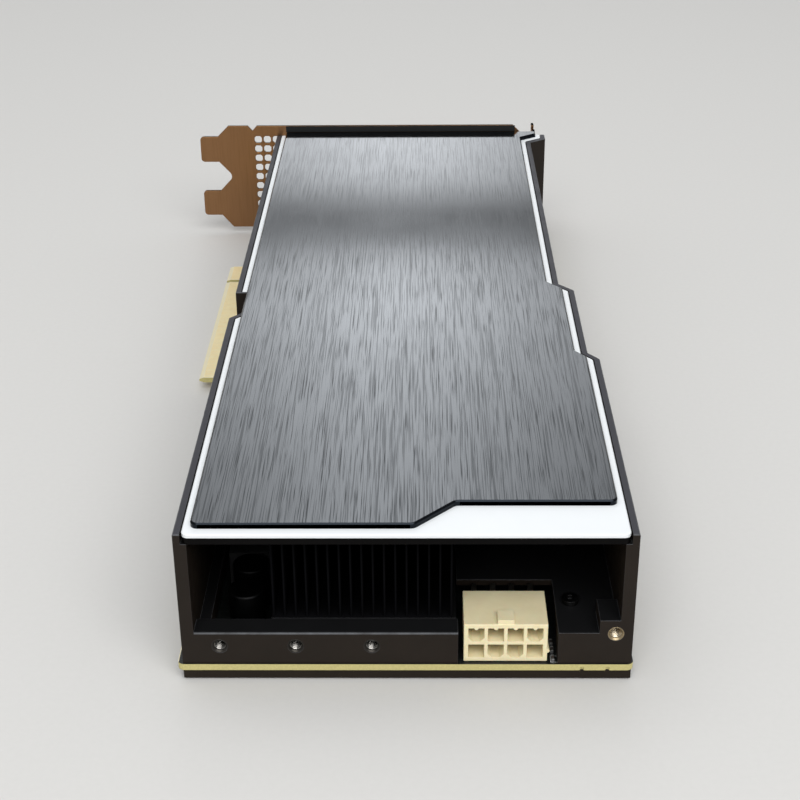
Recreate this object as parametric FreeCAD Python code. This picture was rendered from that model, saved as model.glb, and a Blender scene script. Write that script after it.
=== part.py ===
import FreeCAD, Part
import math
import os

# Passive dual-slot accelerator card: a circuit board between a flat backplate and an
# open-ended air duct, with a fin stack inside the duct and a slotted bracket at one end.
#
# Everything is drawn from the board: X runs from the edge-contact side of the board to the
# link side, Y from the tail edge to the bracket, Z up from the component face. At the end
# every piece moves to the part's own frame, whose origin is the middle of the backplate's
# outer face, so that the card stands on Z = 0.

Vec = FreeCAD.Vector

# ------------------------------------------------------------------ circuit board
board_width = 98.4
board_far_gap = 0.74           # between the board's far edge and the bracket
board_thickness = 1.57
board_corner_r = 1.5
tab_reach = 12.75              # edge tab beyond the board's side
tab_start = 138.1              # tail end of the tab
tab_long = 71.65
tab_key = 1.9                  # keying slot between the two tab lengths
tab_short = 11.65
tab_key_depth = 7.5
tab_bevel = 1.3
tab_tip = 0.63                 # thickness left at the bevelled edge
contact_pitch = 1.0
contact_width = 0.7
contact_length = 5.6
contact_thickness = 0.05
link_contact_length = 4.2
link_contact_count = 42
link_first_gap = 9.0           # from the recess's start to the first pad
link_group_pitch = 64.0
link_group_count = 2
link_edge_margin = 0.4
bite_insets = (11.1, 5.6)      # break-off notches in the tail edge, from the link side
bite_r = 0.45

# ------------------------------------------------------------------ outer shape seen from above
left_x = 1.2
right_inset = 0.5              # from the board's link side to the frame's widest part
waist_step = 2.7               # right side, stepped in after the first shoulder
recess_step = 6.6              # the same along the link contacts
foot_step = 1.1                # the same at the bracket
shoulder_1 = (83.0, 86.5)      # Y where each shoulder starts and ends
shoulder_2 = (126.5, 131.0)
shoulder_3 = (257.5, 261.5)
notch_slope = (108.5, 112.3)   # relief in the left side
notch_end = 125.5
notch_depth = 3.5
tail_inset = 0.3               # metalwork set back from the board's tail edge
metal_clearance = 0.1

# ------------------------------------------------------------------ duct frame
duct_height = 32.8
wall = 2.8
ledge_width = 2.5              # seat for the heatsink base along both walls
base_bottom = 5.0
tray_top = 8.0
tray_plate = 1.5
bar_depth = 5.2
bar_edge_r = 0.6
far_bar_depth = 6.6
bay_left_gap = 1.2             # open board on each side of the power header
bay_right_gap = 2.2
bay_back_gap = 1.2
service_depth = 45.0           # tail zone with no fins beside the nose of the stack
boss_width = 4.4
boss_top = 11.2
boss_depth = 8.0
top_bevel = 0.25
border = 1.5                   # frame edge left visible round the white trim
notch_border = 0.3             # the same at the end of the relief

# ------------------------------------------------------------------ cover, trim and top plate
cover_thickness = 1.5
trim_thickness = 0.9
trim_corner_r = 1.5
lid_gap = 0.25                 # groove between the lid and the frame's border
plate_thickness = 1.3
plate_inset = 3.4              # from the frame's side to the plate, on the stepped side
plate_left = 4.6
plate_tail = 2.6
plate_jog_x = 51.3             # where the tail edge turns back
plate_jog_run = 8.8
plate_jog_depth = 9.1
plate_jog_r = 2.0
trim_bevel = 0.2
plate_bevel = 0.35
plate_corner_r = 1.6

# ------------------------------------------------------------------ backplate
backplate_height = 2.6
backplate_skin = 1.3
backplate_rim = 5.6
backplate_bevel = 0.4
backplate_boss_r = 4.6
film_thickness = 0.15
film_clearance = 0.5

# ------------------------------------------------------------------ fasteners
board_screw_r = 1.25
board_screw_head_r = 2.4
board_screw_head = 1.3
board_screw_depth = 4.0
board_screw_inset = 2.9
screw_first_y = 14.0
left_screw_count = 7
left_screw_far_gap = 10.0      # from the last screw to the bracket
right_screw_count = 6
right_screw_far_gap = 22.0
board_screw_tip_room = 0.3
blind_skin = 0.5               # metal left under a blind thread in the backplate
bore_clearance = 0.05
hole_clearance = 0.2
drive_r = 0.95                 # six-lobe recess, drawn as a hexagon
drive_depth = 0.8
insert_r = 1.75
insert_bore_r = 1.25
insert_skin = 0.6              # metal left behind an insert
insert_length = bar_depth - insert_skin
insert_mouth = 0.35
sill_insert_x = 9.4
sill_insert_pitch = 16.35
sill_insert_count = 3
sill_insert_z = 4.6
boss_insert_inset = 3.7        # from the frame's right side
boss_insert_z = 7.8
tray_screw_gap = 3.4           # from the header bay
tray_screw_ys = (12.0, 36.0)
tray_screw_head_r = 1.9
tray_screw_head = 1.1
tray_post_wall = 1.8

# ------------------------------------------------------------------ heatsink
base_thickness = 3.0
base_clearance = 0.3
fin_left_gap = 1.1             # from the relief's inner wall to the first fin
fin_right_gap = 0.2            # least room left beside the last fin
fin_pitch = 2.4
fin_thickness = 0.4
nose_left_x = 20.0             # the fins between here and the header reach to the tail
nose_right_gap = 1.0
fin_gap = 0.6                  # between the stack and the cover
fin_tail_gap = 0.2
fin_far_gap = 9.14             # from the stack to the bracket
spring_wire_r = 0.45
spring_mean_r = 2.5
spring_turns = 4.5
spring_height = 6.0
sink_screw_r = 1.5
sink_screw_head_r = 3.3
sink_screw_head = 2.2
sink_screw_relief = 4.3        # clearance through the fins

# ------------------------------------------------------------------ processor package
package_shift = -0.2           # of the processor from the board's middle line
package_y = 150.0
package_side = 55.0
package_height = 1.9
die_size = (26.0, 29.0)
memory_size = (8.0, 11.0)
memory_gap = 1.0
chip_height = 0.8
stiffener_width = 3.5
stiffener_height = 1.2
paste_thickness = 0.15
sink_screw_wall_gap = 5.3      # from the heatsink screws to the duct's recessed wall
sink_screw_package_gap = 4.5   # along the card, from the carrier to the same screws

# ------------------------------------------------------------------ power supply on the board
phase_pitch = 11.0
phase_left_gap = 11.0          # from the frame's ledge to the first choke
phase_right_gap = 1.1          # least room between the last choke and the frame's ledge
phase_row_gap = 18.5           # from the processor's carrier to the chokes' middle line
choke_side = 8.0
choke_height = 4.4
stage_size = (5.0, 6.0, 0.9)
stage_offset = 8.5
can_r = 4.0
can_height = 11.0
can_edge_r = 0.5
can_gap = 3.7                  # from the frame's ledge
can_ys = (13.0, 23.0)
input_choke_gap = 1.85
input_choke_y = 36.0
input_choke_side = 10.5
input_choke_height = 8.5
tray_chip = (4.2, 30.0, 8.0)   # from the header's left side, then Y, then side
far_chips = ((3.0, 222.0, 12.0), (-19.0, 226.0, 7.0), (25.0, 224.0, 9.0))   # from the processor
controller_height = 1.1
decoupler_size = (1.0, 0.6, 0.6)
decoupler_count = 12
decoupler_pitch = 4.0
decoupler_gap = 4.0            # from the processor's carrier
bay_part_gap = 1.3             # from the header's side
bay_part_length = 1.6
bay_part_ys = (1.9, 4.9, 7.6)

# ------------------------------------------------------------------ power header
header_right_gap = 18.1        # from the header to the frame's widest part
header_y = 0.9
header_size = (18.0, 12.8, 9.6)
header_foot = 0.15
header_foot_side = 1.1
foot_inset = 0.3
header_edge_r = 0.2
circuit_pitch = 4.2
circuit_column_count = 4
circuit_row_count = 2
cavity_side = 3.45
cavity_depth = 11.4
cavity_chamfer = 0.9
chamfered_cavities = ((0, 1), (3, 1), (1, 0), (2, 0))
latch_size = (3.5, 4.0, 1.0)
cavity_rib_r = 0.45
side_nub_r = 0.5
side_nub_z = 2.6
pin_side = 1.14
pin_front = 4.0
pin_leg_offsets = (3.0, 5.6)   # behind the housing, for the lower and the upper row
pin_tail = 0.4                 # below the board

# ------------------------------------------------------------------ bracket
bracket_face_y = 267.0
bracket_thickness = 0.86
bracket_bottom = -1.9
bracket_top = 36.3
fork_tip_x = -26.5
fork_width = 9.3
fork_centres = (7.4, 27.7)
fork_root_x = -20.2
fork_tip_r = 1.3
body_left_x = -16.2
valley_x = -15.1
valley_z = 17.5
valley_r = 2.2
top_notch_x = -7.6
top_notch_width = 3.2
top_notch_depth = 1.8
top_end_x = 85.5
shoulder_drop = 3.1
flange_x = 93.6
flange_length = 11.43
bend_r = 0.6
flange_slot = 4.42
flange_slot_drop = 1.5         # the upper slot sits lower than its fork arm
vent_side = 2.6
vent_corner = 0.6
vent_pitch_x = 3.25
vent_pitch_z = 3.46
vent_left_gap = 1.95           # from the notch in the top edge to the first column
vent_top_gap = 5.0             # from the top edge to the first row
bracket_screw_xs = (12.0, 46.0, 80.0)
bracket_screw_z = 2.5
bracket_screw_reach = 4.5

# ------------------------------------------------------------------ sizes worked out from the above
bracket_inner_y = bracket_face_y - bracket_thickness
board_length = bracket_inner_y - board_far_gap
right_x = board_width - right_inset
waist_x = right_x - waist_step
recess_x = right_x - recess_step
foot_x = right_x - foot_step
cover_bottom = duct_height - trim_thickness - cover_thickness
trim_bottom = duct_height - trim_thickness
tail_bar_back = tail_inset + bar_depth
base_top = base_bottom + base_thickness
base_tail_y = tail_bar_back + base_clearance
base_far_y = bracket_inner_y - fin_far_gap + base_clearance
backplate_bottom = -board_thickness - backplate_height
pocket_floor = -board_thickness - (backplate_height - backplate_skin)
blind_floor = backplate_bottom + blind_skin
bite_xs = [board_width - inset for inset in bite_insets]
header_x = right_x - header_right_gap - header_size[0]
header_back = header_y + header_size[1]
bay_x0 = header_x - bay_left_gap
bay_x1 = header_x + header_size[0] + bay_right_gap
bay_back = header_back + max(pin_leg_offsets) + bay_back_gap
chip_top = package_height + chip_height
ledge_x = left_x + wall + ledge_width
fin_top = cover_bottom - fin_gap
fin_far_y = bracket_inner_y - fin_far_gap
fin_start_x = left_x + notch_depth + wall + fin_left_gap
fin_room = recess_x - wall - fin_right_gap - fin_start_x - fin_thickness
fin_count = 1 + int(fin_room / fin_pitch)
nose_first = math.ceil((nose_left_x - fin_start_x) / fin_pitch)
nose_last = int((bay_x0 - nose_right_gap - fin_thickness - fin_start_x) / fin_pitch)
nose_x0 = fin_start_x + nose_first * fin_pitch
nose_x1 = fin_start_x + nose_last * fin_pitch + fin_thickness
chips_across = die_size[0] + 2 * (memory_size[0] + memory_gap)
package_centre = (board_width / 2 + package_shift, package_y)
sink_reach_x = recess_x - wall - sink_screw_wall_gap - package_centre[0]
sink_reach_y = package_side / 2 + sink_screw_package_gap
sink_spots = [(package_centre[0] + sx * sink_reach_x, package_centre[1] + sy * sink_reach_y)
              for sx in (-1, 1) for sy in (-1, 1)]
phase_first_x = ledge_x + phase_left_gap + choke_side / 2
phase_room = recess_x - wall - ledge_width - phase_right_gap - choke_side / 2 - phase_first_x
phase_count = 1 + int(phase_room / phase_pitch)
controller_spots = [(package_centre[0] + x, y, side) for x, y, side in far_chips]
controller_spots.append((header_x + tray_chip[0] + tray_chip[2] / 2, tray_chip[1], tray_chip[2]))
tray_screw_spots = [(bay_x1 + tray_screw_gap, y) for y in tray_screw_ys]
boss_spots = sink_spots + tray_screw_spots
frame_origin = Vec(-board_width / 2, -bracket_face_y / 2, -backplate_bottom)


# ================================================================== shaping helpers
def box(x0, x1, y0, y1, z0, z1):
    """A block between two corners."""
    return Part.makeBox(x1 - x0, y1 - y0, z1 - z0, Vec(x0, y0, z0))


def block_on(centre_x, centre_y, size_x, size_y, bottom, top):
    """A block centred over a spot."""
    return box(centre_x - size_x / 2, centre_x + size_x / 2,
               centre_y - size_y / 2, centre_y + size_y / 2, bottom, top)


def post(x, y, radius, bottom, top):
    """An upright cylinder."""
    return Part.makeCylinder(radius, top - bottom, Vec(x, y, bottom))


def rod_y(x, z, radius, start, end):
    """A cylinder along Y."""
    return Part.makeCylinder(radius, end - start, Vec(x, start, z), Vec(0, 1, 0))


def prism(points, bottom, top):
    """A flat outline raised from one height to another."""
    corners = [Vec(x, y, bottom) for x, y in points]
    return Part.Face(Part.makePolygon(corners + corners[:1])).extrude(Vec(0, 0, top - bottom))


def inset_outline(points, distance):
    """Move every side of a counter-clockwise outline inwards by one distance."""
    moved = []
    count = len(points)
    for index, here in enumerate(points):
        before = points[index - 1]
        after = points[(index + 1) % count]
        length_in = math.dist(before, here)
        length_out = math.dist(here, after)
        normal_in = ((before[1] - here[1]) / length_in, (here[0] - before[0]) / length_in)
        normal_out = ((here[1] - after[1]) / length_out, (after[0] - here[0]) / length_out)
        share = distance / (1 + normal_in[0] * normal_out[0] + normal_in[1] * normal_out[1])
        moved.append((here[0] + share * (normal_in[0] + normal_out[0]),
                      here[1] + share * (normal_in[1] + normal_out[1])))
    return moved


def round_upright(solid, spots, radius):
    """Round the upright edges that stand at the given X, Y spots."""
    chosen = []
    for edge in solid.Edges:
        start, end = edge.Vertexes[0].Point, edge.Vertexes[-1].Point
        upright = abs(start.x - end.x) + abs(start.y - end.y) < 1e-6
        if upright and any(math.dist((start.x, start.y), spot) < 1e-3 for spot in spots):
            chosen.append(edge)
    return solid.makeFillet(radius, chosen)


def bevel_rim(solid, height, size):
    """Bevel every edge that lies flat at one height."""
    chosen = [edge for edge in solid.Edges
              if abs(edge.BoundBox.ZMin - height) < 1e-6 and abs(edge.BoundBox.ZMax - height) < 1e-6]
    return solid.makeChamfer(size, chosen)


def joined(solids):
    """One solid from pieces that share faces or volume."""
    return solids[0].fuse(solids[1:]).removeSplitter()


def group(solids):
    """Several separate solids kept in one node."""
    return Part.makeCompound(solids)


def hexagon_pit(x, y, bottom, top):
    """The cutter for a screw's drive recess."""
    turns = [math.radians(60 * step) for step in range(6)]
    corners = [(x + drive_r * math.cos(turn), y + drive_r * math.sin(turn)) for turn in turns]
    return prism(corners, bottom, top)


# ================================================================== shared outlines
def side_outline(tail, far, left_relief=True, relief_end=notch_end, foot=True):
    """The card's stepped outline from above, counter-clockwise from the tail's left corner."""
    points = [
        (left_x, tail), (right_x, tail),
        (right_x, shoulder_1[0]), (waist_x, shoulder_1[1]),
        (waist_x, shoulder_2[0]), (recess_x, shoulder_2[1]),
    ]
    if foot:
        points += [(recess_x, shoulder_3[0]), (foot_x, shoulder_3[1]), (foot_x, far)]
    else:
        points.append((recess_x, far))
    points.append((left_x, far))
    if left_relief:
        relief_x = left_x + notch_depth
        points += [(left_x, relief_end), (relief_x, relief_end),
                   (relief_x, notch_slope[1]), (left_x, notch_slope[0])]
    return points


def open_outline(distance):
    """The outline moved inwards at the sides only, so that both ends stay where they are."""
    return inset_outline(side_outline(tail_inset - distance, bracket_inner_y + distance), distance)


def trim_outline(distance):
    """The outline of the cover and the trim: the frame's, moved in by its visible border."""
    reach = side_outline(tail_inset - distance, bracket_inner_y + distance,
                         relief_end=notch_end - border + notch_border)
    return inset_outline(reach, distance)


def side_x_at(y):
    """The X of the stepped right side at one Y, between its shoulders."""
    if y < shoulder_1[0]:
        return right_x
    if y < shoulder_2[0]:
        return waist_x
    if y < shoulder_3[0]:
        return recess_x
    return foot_x


def screw_row(count, far_gap):
    """Evenly spaced places along Y for one side's screws."""
    pitch = (bracket_inner_y - far_gap - screw_first_y) / (count - 1)
    return [screw_first_y + step * pitch for step in range(count)]


def board_screw_spots():
    """Where the screws hold backplate, board and frame together."""
    left = [(left_x + board_screw_inset, y) for y in screw_row(left_screw_count, left_screw_far_gap)]
    right = [(side_x_at(y) - board_screw_inset, y) for y in screw_row(right_screw_count, right_screw_far_gap)]
    return left + right


def circuit_x(column):
    """The X of one column of circuits in the power header."""
    span = (circuit_column_count - 1) * circuit_pitch
    return header_x + (header_size[0] - span) / 2 + column * circuit_pitch


def circuit_z(row):
    """The Z of one row of circuits in the power header."""
    return header_foot + (header_size[2] - (circuit_row_count - 1) * circuit_pitch) / 2 + row * circuit_pitch


def pin_legs():
    """X and Y of every pin's leg, with its row."""
    return [(circuit_x(column), header_back + pin_leg_offsets[row], row)
            for column in range(circuit_column_count) for row in range(circuit_row_count)]


# ================================================================== board and contacts
def tab_length(start, end):
    """One length of the edge tab, bevelled on both faces of its outer edge."""
    step = (board_thickness - tab_tip) / 2
    profile = [(0, 0), (-(tab_reach - tab_bevel), 0), (-tab_reach, -step),
               (-tab_reach, step - board_thickness), (-(tab_reach - tab_bevel), -board_thickness),
               (0, -board_thickness)]
    corners = [Vec(x, start, z) for x, z in profile]
    return Part.Face(Part.makePolygon(corners + corners[:1])).extrude(Vec(0, end - start, 0))


def make_circuit_board():
    """The board with its edge tab and every hole that a screw or a pin goes through."""
    sheet = box(0, board_width, 0, board_length, -board_thickness, 0)
    sheet = round_upright(sheet, [(0, 0), (board_width, 0)], board_corner_r)
    key_start = tab_start + tab_long
    key_end = key_start + tab_key
    root = box(tab_key_depth - tab_reach, 0, key_start, key_end, -board_thickness, 0)
    board = joined([sheet, tab_length(tab_start, key_start), root,
                    tab_length(key_end, key_end + tab_short)])
    small_spots = board_screw_spots() + tray_screw_spots
    holes = [post(x, y, board_screw_r + hole_clearance, -board_thickness, 0) for x, y in small_spots]
    holes += [post(x, y, sink_screw_r + hole_clearance, -board_thickness, 0) for x, y in sink_spots]
    holes += [post(x, y, pin_side, -board_thickness, 0) for x, y, _ in pin_legs()]
    holes += [post(x, 0, bite_r, -board_thickness, -board_thickness / 2) for x in bite_xs]
    return board.cut(holes)


def contact_row(first_y, count, x0, x1):
    """A row of contact pads on both faces of the board."""
    pads = []
    for step in range(count):
        middle = first_y + step * contact_pitch
        for z0 in (0, -board_thickness - contact_thickness):
            pads.append(box(x0, x1, middle - contact_width / 2, middle + contact_width / 2,
                            z0, z0 + contact_thickness))
    return pads


def make_edge_contacts():
    """The gold pads of both tab lengths, centred on their lengths."""
    x0 = tab_bevel - tab_reach
    pads = []
    for start, length in ((tab_start, tab_long), (tab_start + tab_long + tab_key, tab_short)):
        count = int(length / contact_pitch)
        first = start + (length - (count - 1) * contact_pitch) / 2
        pads += contact_row(first, count, x0, x0 + contact_length)
    return group(pads)


def make_link_contacts():
    """The gold pads for bridges to neighbouring cards, along the recessed side."""
    x1 = board_width - link_edge_margin
    pads = []
    for step in range(link_group_count):
        start = shoulder_2[1] + link_first_gap + step * link_group_pitch
        pads += contact_row(start, link_contact_count, x1 - link_contact_length, x1)
    return group(pads)


# ================================================================== frame and what screws to it
def frame_walls():
    """Both side walls with the ledge that carries the heatsink base."""
    outer = bevel_rim(prism(open_outline(0), 0, duct_height), duct_height, top_bevel)
    air_space = prism(open_outline(wall), base_bottom, duct_height)
    foot_space = prism(open_outline(wall + ledge_width), 0, base_bottom)
    lid_seat = prism(trim_outline(border), cover_bottom, duct_height)
    return outer.cut([air_space, foot_space, lid_seat])


def tail_sill():
    """The sill across the tail on both sides of the header bay, and its threaded boss."""
    inner_x = right_x - wall
    left = box(left_x + wall, bay_x0, tail_inset, tail_bar_back, 0, tray_top)
    front_top = [edge for edge in left.Edges
                 if abs(edge.BoundBox.YMax - tail_inset) < 1e-6 and abs(edge.BoundBox.ZMin - tray_top) < 1e-6]
    left = left.makeFillet(bar_edge_r, front_top)
    right = box(bay_x1, inner_x, tail_inset, tail_bar_back, 0, tray_top)
    boss = box(inner_x - boss_width, inner_x, tail_inset, tail_inset + boss_depth, 0, boss_top)
    return [left, right, boss]


def service_tray():
    """The closed floor beside the nose of the fin stack, with the header bay left out."""
    floor = box(bay_x0, right_x - wall, tail_bar_back, service_depth, tray_top - tray_plate, tray_top)
    bay = box(bay_x0, bay_x1, 0, bay_back, 0, boss_top)
    posts = [post(x, y, board_screw_r + tray_post_wall, 0, tray_top) for x, y in tray_screw_spots]
    return [floor.cut(bay)] + posts


def far_bar():
    """The bar between the walls that carries the bracket."""
    bar = box(left_x, foot_x, bracket_inner_y - far_bar_depth, bracket_inner_y, 0, tray_top)
    return bar.common(prism(open_outline(wall / 2), 0, tray_top))


def make_duct_frame():
    """The cast frame: walls, tail sill, service tray and the bar that carries the bracket."""
    frame = joined([frame_walls()] + tail_sill() + service_tray() + [far_bar()])
    cuts = [post(x, y, board_screw_r + bore_clearance, 0, board_screw_depth + board_screw_tip_room)
            for x, y in board_screw_spots()]
    cuts += [post(x, y, board_screw_r + hole_clearance, 0, tray_top) for x, y in tray_screw_spots]
    cuts += [rod_y(x, z, insert_r, tail_inset, tail_inset + insert_length) for x, z in insert_spots()]
    cuts += [rod_y(x, bracket_screw_z, board_screw_r + bore_clearance,
                   bracket_inner_y - bracket_screw_reach - board_screw_tip_room, bracket_inner_y)
             for x in bracket_screw_xs]
    return frame.cut(cuts)


def insert_spots():
    """Every threaded insert in the tail face, as X and Z: the sill's row, then the boss."""
    row = [(sill_insert_x + step * sill_insert_pitch, sill_insert_z) for step in range(sill_insert_count)]
    return row + [(right_x - boss_insert_inset, boss_insert_z)]


def threaded_insert(x, z):
    """One insert: a sleeve with a countersunk mouth at the tail face."""
    sleeve = rod_y(x, z, insert_r, tail_inset, tail_inset + insert_length)
    bore = rod_y(x, z, insert_bore_r, tail_inset, tail_inset + insert_length)
    mouth = Part.makeCone(insert_bore_r + insert_mouth, insert_bore_r, insert_mouth,
                          Vec(x, tail_inset, z), Vec(0, 1, 0))
    return sleeve.cut([bore, mouth])


def make_sill_inserts():
    """The steel inserts in the tail sill, for a support bracket."""
    return group([threaded_insert(x, z) for x, z in insert_spots()[:-1]])


def make_boss_insert():
    """The brass insert in the raised boss."""
    return threaded_insert(*insert_spots()[-1])


def flat_screw(x, y, head_z, depth_top):
    """A countersunk screw driven upwards from the backplate's outer face."""
    head = Part.makeCone(board_screw_head_r, board_screw_r, board_screw_head, Vec(x, y, head_z))
    shank = post(x, y, board_screw_r, head_z, depth_top)
    return head.fuse(shank).removeSplitter().cut(hexagon_pit(x, y, head_z, head_z + drive_depth))


def make_backplate_screws():
    """The screws through backplate and board into the frame."""
    return group([flat_screw(x, y, backplate_bottom, board_screw_depth) for x, y in board_screw_spots()])


def make_tray_screws():
    """The screws through the service tray and the board into the backplate's bosses."""
    screws = []
    for x, y in tray_screw_spots:
        head = post(x, y, tray_screw_head_r, tray_top, tray_top + tray_screw_head)
        shank = post(x, y, board_screw_r, blind_floor, tray_top)
        pit = hexagon_pit(x, y, tray_top + tray_screw_head - drive_depth, tray_top + tray_screw_head)
        screws.append(head.fuse(shank).removeSplitter().cut(pit))
    return group(screws)


# ================================================================== cover, trim and plate
def lid_corner_spots(points):
    """The two tail corners of an outline."""
    return [points[0], points[1]]


def make_duct_cover():
    """The black sheet that closes the top of the duct."""
    points = trim_outline(border + lid_gap)
    return round_upright(prism(points, cover_bottom, trim_bottom), lid_corner_spots(points), trim_corner_r)


def make_trim_plate():
    """The white sheet on the cover: a thin line along both sides and a field at the tail."""
    points = trim_outline(border + lid_gap)
    sheet = round_upright(prism(points, trim_bottom, duct_height), lid_corner_spots(points), trim_corner_r)
    return bevel_rim(sheet, duct_height, trim_bevel)


def make_top_plate():
    """The brushed plate with bevelled edges, stepped like the frame on its right side."""
    far = bracket_inner_y - metal_clearance
    whole = side_outline(tail_inset, far + plate_inset, left_relief=False)
    right_side = inset_outline(whole, plate_inset)[2:9]
    white_field_y = plate_tail + plate_jog_depth
    tail_right = (right_side[0][0], white_field_y)
    points = [(plate_left, plate_tail), (plate_jog_x, plate_tail),
              (plate_jog_x + plate_jog_run, white_field_y), tail_right] + right_side + [(plate_left, far)]
    plate = prism(points, duct_height, duct_height + plate_thickness)
    plate = round_upright(plate, [points[0], tail_right], plate_corner_r)
    plate = round_upright(plate, points[1:3], plate_jog_r)
    return bevel_rim(plate, duct_height + plate_thickness, plate_bevel)


# ================================================================== backplate
def backplate_pocket(distance, bottom, top):
    """The hollow over the solder joints, less the bosses that screws pull down on."""
    edge = side_outline(tail_inset, board_length, left_relief=False, foot=False)
    bosses = [post(x, y, backplate_boss_r + distance, bottom, top) for x, y in boss_spots]
    return prism(inset_outline(edge, backplate_rim + distance), bottom, top).cut(bosses)


def make_backplate():
    """The plate under the board, hollowed inside and countersunk for its screws."""
    edge = side_outline(tail_inset, board_length, left_relief=False)
    plate = prism(edge, backplate_bottom, -board_thickness)
    plate = bevel_rim(plate, backplate_bottom, backplate_bevel)
    cuts = [backplate_pocket(0, pocket_floor, -board_thickness)]
    for x, y in board_screw_spots():
        cuts.append(post(x, y, board_screw_r + hole_clearance, backplate_bottom, -board_thickness))
        cuts.append(Part.makeCone(board_screw_head_r + bore_clearance, board_screw_r + bore_clearance,
                                  board_screw_head, Vec(x, y, backplate_bottom)))
    for spots, radius in ((tray_screw_spots, board_screw_r), (sink_spots, sink_screw_r)):
        cuts += [post(x, y, radius + bore_clearance, blind_floor, -board_thickness) for x, y in spots]
    return plate.cut(cuts)


def make_insulator_film():
    """The clear film stuck to the floor of the backplate's hollow."""
    return backplate_pocket(film_clearance, pocket_floor, pocket_floor + film_thickness)


# ================================================================== heatsink
def make_heatsink_base():
    """The base that rests on the frame's ledges, with a pedestal down to the processor."""
    slab = prism(open_outline(wall + base_clearance), base_bottom, base_top)
    slab = slab.common(box(0, board_width, base_tail_y, base_far_y, base_bottom, base_top))
    window_back = service_depth + base_clearance
    windows = [box(0, nose_x0 - fin_thickness, 0, window_back, base_bottom, base_top),
               box(bay_x0 - base_clearance, board_width, 0, window_back, base_bottom, base_top)]
    pedestal = block_on(*package_centre, chips_across, die_size[1], chip_top + paste_thickness, base_bottom)
    holes = [post(x, y, sink_screw_r + hole_clearance, base_bottom, base_top) for x, y in sink_spots]
    return joined([slab.cut(windows + holes), pedestal])


def make_fin_stack():
    """Folded fins soldered side by side: webs with a foot and a head between each pair."""
    stack_y = service_depth + 2 * base_clearance
    last_x = fin_start_x + (fin_count - 1) * fin_pitch + fin_thickness
    nose_y = base_tail_y + fin_tail_gap
    block = joined([box(fin_start_x, last_x, stack_y, fin_far_y, base_top, fin_top),
                    box(nose_x0, nose_x1, nose_y, stack_y, base_top, fin_top)])
    cuts = []
    for step in range(fin_count - 1):
        x0 = fin_start_x + step * fin_pitch + fin_thickness
        cuts.append(box(x0, x0 + fin_pitch - fin_thickness, 0, bracket_inner_y,
                        base_top + fin_thickness, fin_top - fin_thickness))
    cuts += [post(x, y, sink_screw_relief, base_top, fin_top) for x, y in sink_spots]
    return block.cut(cuts)


def make_heatsink_screws():
    """The screws that pull the heatsink down on the processor."""
    screws = []
    for x, y in sink_spots:
        head_z = base_top + spring_height
        head = post(x, y, sink_screw_head_r, head_z, head_z + sink_screw_head)
        shank = post(x, y, sink_screw_r, blind_floor, head_z)
        pit = hexagon_pit(x, y, head_z + sink_screw_head - drive_depth, head_z + sink_screw_head)
        screws.append(head.fuse(shank).removeSplitter().cut(pit))
    return group(screws)


def make_heatsink_springs():
    """The coil springs under those screws' heads."""
    lift = spring_height - 2 * spring_wire_r
    springs = []
    for x, y in sink_spots:
        path = Part.makeHelix(lift / spring_turns, lift, spring_mean_r)
        ring = Part.Wire(Part.makeCircle(spring_wire_r, Vec(spring_mean_r, 0, 0), Vec(0, 1, 0)))
        coil = Part.Wire(path).makePipeShell([ring], True, True)
        coil.translate(Vec(x, y, base_top + spring_wire_r))
        springs.append(coil)
    return group(springs)


# ================================================================== processor
def make_package_substrate():
    """The processor's carrier on the board."""
    return block_on(*package_centre, package_side, package_side, 0, package_height)


def make_processor_die():
    """The bare processor chip in the middle of its carrier."""
    return block_on(*package_centre, *die_size, package_height, chip_top)


def make_memory_stacks():
    """Two memory stacks on each side of the chip."""
    x, y = package_centre
    offset_x = die_size[0] / 2 + memory_gap + memory_size[0] / 2
    offset_y = die_size[1] / 2 - memory_size[1] / 2
    return group([block_on(x + sx * offset_x, y + sy * offset_y, *memory_size, package_height, chip_top)
                  for sx in (-1, 1) for sy in (-1, 1)])


def make_stiffener_ring():
    """The metal ring that keeps the carrier flat."""
    top = package_height + stiffener_height
    outer = block_on(*package_centre, package_side, package_side, package_height, top)
    hole = package_side - 2 * stiffener_width
    return outer.cut(block_on(*package_centre, hole, hole, package_height, package_height + stiffener_height))


def make_thermal_sheet():
    """The heat-conducting sheet between the chips and the pedestal."""
    return block_on(*package_centre, chips_across, die_size[1], chip_top, chip_top + paste_thickness)


# ================================================================== parts on the board
def phase_rows():
    """The two rows of supply phases: each row's Y, and which way is away from the processor."""
    reach = package_side / 2 + phase_row_gap
    return [(package_centre[1] + side * reach, side) for side in (-1, 1)]


def phase_spots():
    """The X, the Y and the outward direction of each supply phase."""
    return [(phase_first_x + step * phase_pitch, y, side)
            for y, side in phase_rows() for step in range(phase_count)]


def make_chokes():
    """One moulded choke for each supply phase."""
    return group([block_on(x, y, choke_side, choke_side, 0, choke_height) for x, y, _ in phase_spots()])


def make_choke_pads():
    """A soft pad over each row of chokes, up to the heatsink base."""
    length = (phase_count - 1) * phase_pitch + choke_side
    middle = phase_first_x + (phase_count - 1) * phase_pitch / 2
    return group([block_on(middle, y, length, choke_side, choke_height, base_bottom)
                  for y, _ in phase_rows()])


def make_power_stages():
    """One switching stage behind each choke."""
    width, depth, height = stage_size
    return group([block_on(x, y + side * stage_offset, width, depth, 0, height)
                  for x, y, side in phase_spots()])


def make_storage_cans():
    """The tall round capacitors that stand in the tail window."""
    cans = []
    for y in can_ys:
        can = post(ledge_x + can_gap + can_r, y, can_r, 0, can_height)
        rim = [edge for edge in can.Edges if edge.BoundBox.ZMin > can_height - 1e-6]
        cans.append(can.makeFillet(can_edge_r, rim))
    return group(cans)


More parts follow.
